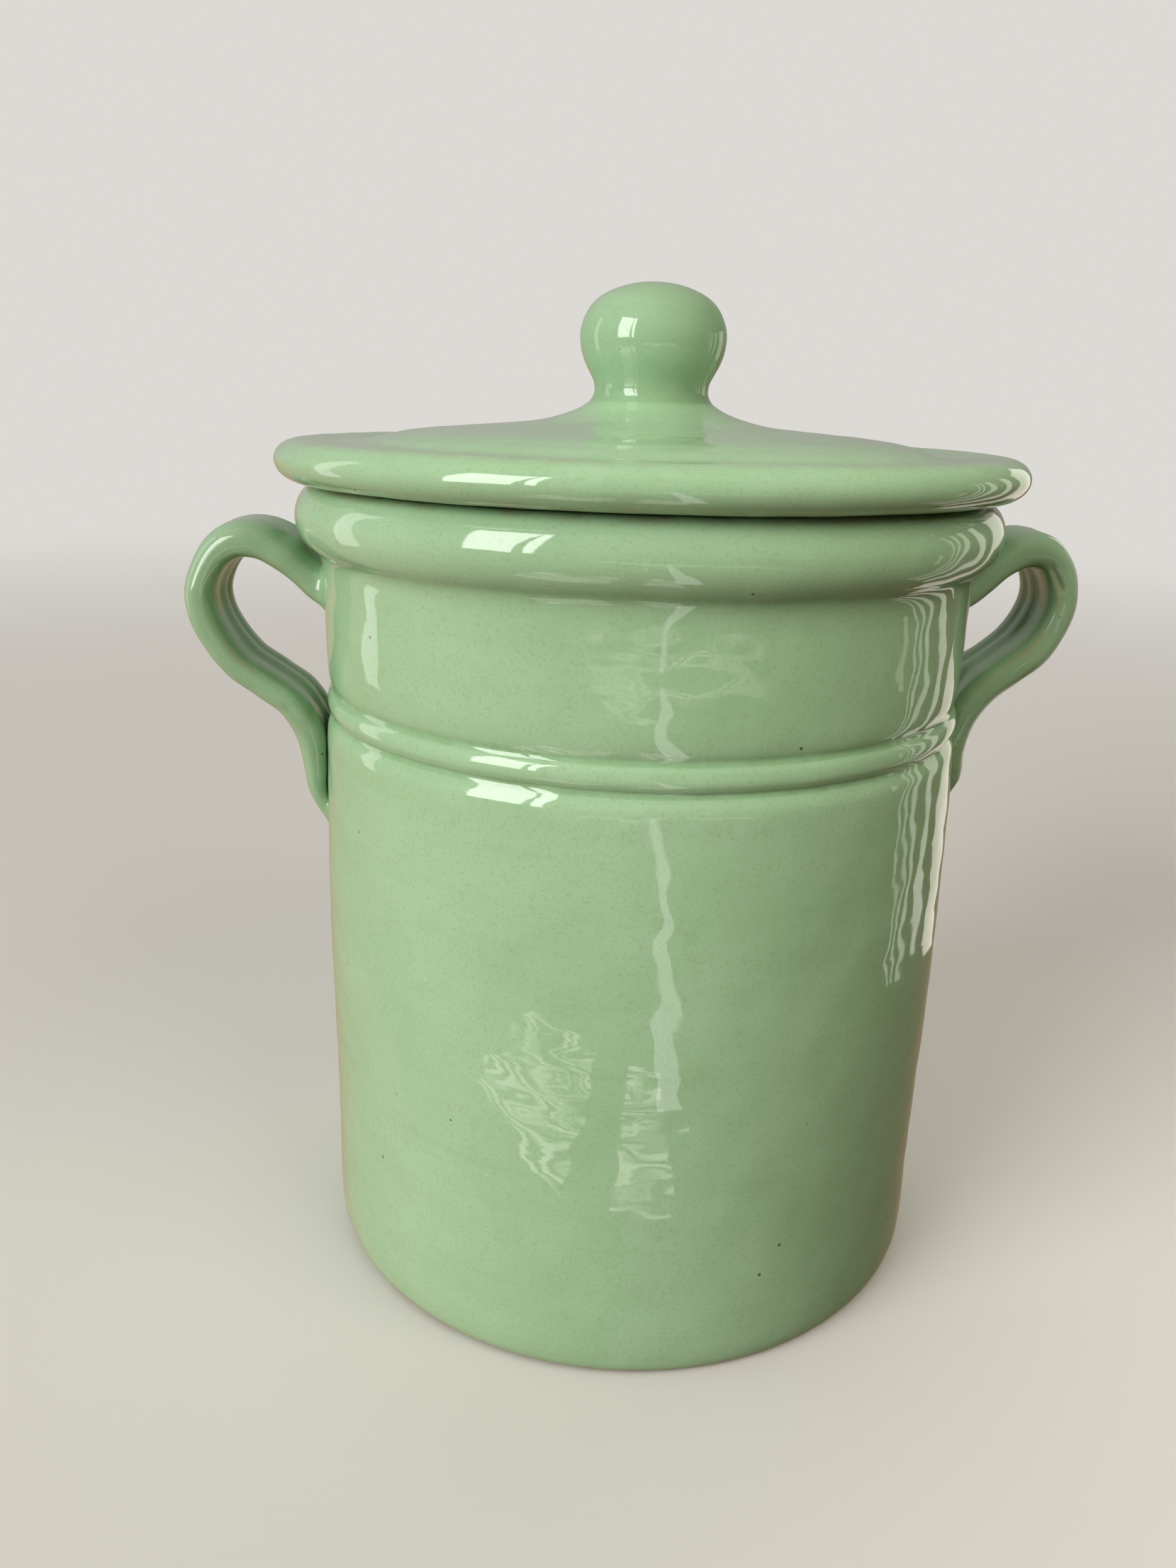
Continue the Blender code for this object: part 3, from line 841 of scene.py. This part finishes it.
def build_stage():
    """A sheet of paper that runs out level and turns up into a wall all round.

    Only the camera sees it, with the shadows on it. The glaze doesn't: below the horizon the
    world stands for the warm table top that the real glaze mirrors.
    """
    bend = [(PAPER_LEVEL + PAPER_BEND * math.sin(a), PAPER_BEND - PAPER_BEND * math.cos(a))
            for a in np.linspace(0.1, math.pi / 2, 12)]
    profile = [(PAPER_LEVEL, 0.0)] + bend + [(PAPER_LEVEL + PAPER_BEND, PAPER_TOP)]
    around = PAPER_SEGMENTS
    turns = [math.tau * i / around for i in range(around)]
    vertices = [(r * math.cos(turn), r * math.sin(turn), z) for r, z in profile for turn in turns]
    faces = [tuple(range(around))]
    for ring in range(0, (len(profile) - 1) * around, around):
        above = ring + around
        for i in range(around):
            j = (i + 1) % around
            faces.append((ring + j, ring + i, above + i, above + j))
    mesh = bpy.data.meshes.new("floor")
    mesh.from_pydata(vertices, [], faces)
    mesh.shade_smooth()
    mesh.materials.append(paper_material())
    floor = bpy.data.objects.new("floor", mesh)
    floor.location.z = -PAPER_DROP
    floor.visible_diffuse = False
    floor.visible_glossy = False
    floor.visible_shadow = False
    bpy.context.scene.collection.objects.link(floor)


def direction(azimuth, elevation):
    """Unit vector: azimuth in degrees from -Y towards +X, elevation up from level."""
    a = math.radians(azimuth)
    e = math.radians(elevation)
    return Vector((math.sin(a) * math.cos(e), -math.cos(a) * math.cos(e), math.sin(e)))


def panel(name, centre, target, size, watts, colour, lights="all", dapple=None):
    """A rectangular lamp at centre that faces target.

    lights says what it serves: "gloss" for reflections, "matt" for the glaze's colour, or "all".
    dapple breaks its light into patches of about that width and depth in metres.
    """
    data = bpy.data.lights.new(name, "AREA")
    data.shape = "RECTANGLE"
    data.size, data.size_y = size
    data.energy = watts
    data.color = colour
    if dapple:
        data.use_nodes = True
        nodes = Nodes(data.node_tree)
        where = nodes.add("ShaderNodeNewGeometry").outputs["Position"]
        where = nodes.stretched(where, (1 / dapple[0], 1 / dapple[1], 1.0))
        patches = nodes.ramp(nodes.noise(where, 1.0, detail=1.0), 0.40, 0.66, 0.0, 2.0)
        nodes.link(patches, data.node_tree.nodes["Emission"].inputs["Strength"])
    lamp = bpy.data.objects.new(name, data)
    lamp.location = centre
    aim = Vector(target) - Vector(centre)
    lamp.rotation_euler = aim.to_track_quat("-Z", "Y").to_euler()
    lamp.visible_camera = False
    lamp.visible_diffuse = lights != "gloss"
    lamp.visible_glossy = lights != "matt"
    bpy.context.scene.collection.objects.link(lamp)


def wash(name, azimuth, elevation, strength, spread, colour):
    """Even soft light from one side. The glaze doesn't mirror it."""
    data = bpy.data.lights.new(name, "SUN")
    data.energy = strength
    data.angle = math.radians(spread)
    data.color = colour
    lamp = bpy.data.objects.new(name, data)
    lamp.rotation_euler = direction(azimuth, elevation).to_track_quat("Z", "Y").to_euler()
    lamp.visible_glossy = False
    bpy.context.scene.collection.objects.link(lamp)


DAYLIGHT = (1.0, 0.985, 0.975)
WARM = (1.0, 0.955, 0.84)
CURTAIN = (1.0, 0.97, 0.86)


def build_lights():
    """Broad light from all round, and lamps that only the glaze's reflections show.

    Those stand where the photograph's highlights come from: windows, curtain edges to the
    right, and light that falls in patches on the table.
    """
    origin = Vector((0, 0, 0))
    up = Vector((0, 0, 1))
    wash("key", -52.0, 18.0, 2.90, 36.0, DAYLIGHT)
    wash("back", 165.0, 35.0, 0.7, 80.0, DAYLIGHT)
    corner = direction(40.0, 0.0) * 0.50 + 0.62 * up
    panel("fill", corner, origin + 0.16 * up, (0.45, 0.45), 2.0, WARM, "matt")
    sky = Vector((-0.45, -0.35, 1.7))
    panel("sky", sky, origin + 0.1 * up, (1.6, 1.6), 1.8, DAYLIGHT)

    middle = origin + 0.2 * up
    for name, azimuth, width, watts in (
        ("window_wide", -51.5, 0.44, 12.0),
        ("window_slim", -36.5, 0.08, 2.3),
    ):
        place = middle + direction(azimuth, 20.0) * 1.25
        panel(name, place, middle, (width, 0.95), watts, DAYLIGHT, "gloss")

    edge = Vector((WALL_RADIUS * MM, 0.0, 0.0))
    for name, azimuth, width, z, height, watts in (
        ("curtain_glint", 79.0, 0.014, 0.165, 0.07, 0.0030),
        ("curtain_near", 87.0, 0.007, 0.150, 0.36, 0.0110),
        ("curtain_next", 91.5, 0.010, 0.150, 0.36, 0.0150),
        ("curtain_mid", 98.0, 0.018, 0.150, 0.36, 0.0280),
        ("curtain_far", 111.0, 0.030, 0.150, 0.36, 0.0440),
        ("curtain_back", 134.0, 0.090, 0.150, 0.36, 0.1050),
    ):
        place = edge + direction(azimuth, 0.0) * 0.27
        place.z = z
        panel(name, place, edge + z * up, (width, height), watts, CURTAIN, "gloss")

    side = direction(-104.0, 0.0) * 0.6 + 0.30 * up
    panel("side_glow", side, origin + 0.22 * up, (0.09, 0.55), 0.26, DAYLIGHT, "gloss")
    gleam = Vector((0.0, -WALL_RADIUS * MM, 0.0)) + direction(3.0, 0.0) * 0.62
    panel("gleam", gleam, gleam + up, (0.030, 1.0), 0.22, DAYLIGHT, "gloss")
    for name, azimuth, reach, size, watts, patches in (
        ("dapple_left", -29.0, 0.145, (0.115, 0.10), 0.060, (0.070, 0.0060)),
        ("dapple_middle", 0.5, 0.118, (0.045, 0.11), 0.026, (0.060, 0.0060)),
        ("dapple_far", 6.0, 0.900, (0.95, 0.30), 1.300, (0.350, 0.025)),
    ):
        place = direction(azimuth, 0.0) * (WALL_RADIUS * MM + reach)
        panel(name, place, place + up, size, watts, CURTAIN, "gloss", patches)


TABLE_LIT = (0.460, 0.340, 0.240)
TABLE_DIM = (0.075, 0.040, 0.014)
ROOM_DIM = (0.130, 0.118, 0.080)
ROOM_LIT = (0.420, 0.405, 0.375)


def build_world():
    """A warm table top below the horizon and a dim room above, both brighter left and behind."""
    world = bpy.data.worlds.new("studio")
    world.use_nodes = True
    nodes = Nodes(world.node_tree)
    parts = nodes.add("ShaderNodeSeparateXYZ")
    nodes.link(nodes.add("ShaderNodeTexCoord").outputs["Generated"], parts.inputs["Vector"])
    x, y, z = parts.outputs
    leftward = nodes.math("SUBTRACT", nodes.math("MULTIPLY", y, 0.6), x)
    table = nodes.mix(nodes.ramp(leftward, -0.9, 0.9), TABLE_DIM, TABLE_LIT)
    room = nodes.mix(nodes.ramp(leftward, -0.9, 0.9), ROOM_DIM, ROOM_LIT)
    colour = nodes.mix(nodes.ramp(z, -0.06, 0.02), table, room)
    nodes.link(colour, world.node_tree.nodes["Background"].inputs["Color"])
    bpy.context.scene.world = world


# ---------------------------------------------------------------- camera

# From a fit to the turned outlines in the photograph, in metres, degrees and millimetres. Only
# CAMERA_ROUND, which turns the view from -Y towards -X, and CAMERA_ROLL were given.
CAMERA_DISTANCE = 0.3603
CAMERA_HEIGHT = 0.2566
CAMERA_ROUND = 5.0
CAMERA_YAW = 2.36
CAMERA_DOWN = 17.80
CAMERA_ROLL = 1.6
CAMERA_LENS = 27.65
CAMERA_SENSOR = 36.0     # along the picture's longer side


def build_camera():
    yaw = math.radians(CAMERA_YAW)
    down = math.radians(CAMERA_DOWN)
    roll = math.radians(CAMERA_ROLL)
    forward = Vector((-math.sin(yaw) * math.cos(down), math.cos(yaw) * math.cos(down),
                      -math.sin(down)))
    right = Vector((math.cos(yaw), math.sin(yaw), 0.0))
    up = right.cross(forward)
    tilted_right = math.cos(roll) * right + math.sin(roll) * up
    tilted_up = -math.sin(roll) * right + math.cos(roll) * up
    turn = Matrix((tilted_right, tilted_up, -forward)).transposed().to_4x4()
    place = Matrix.Translation((0.0, -CAMERA_DISTANCE, CAMERA_HEIGHT)) @ turn
    data = bpy.data.cameras.new("camera")
    data.sensor_width = CAMERA_SENSOR
    data.lens = CAMERA_LENS
    camera = bpy.data.objects.new("camera", data)
    camera.matrix_world = Matrix.Rotation(math.radians(-CAMERA_ROUND), 4, "Z") @ place
    bpy.context.scene.collection.objects.link(camera)
    bpy.context.scene.camera = camera


build_camera()
dress()
build_stage()
build_lights()
build_world()
bpy.context.scene.view_settings.view_transform = "Standard"
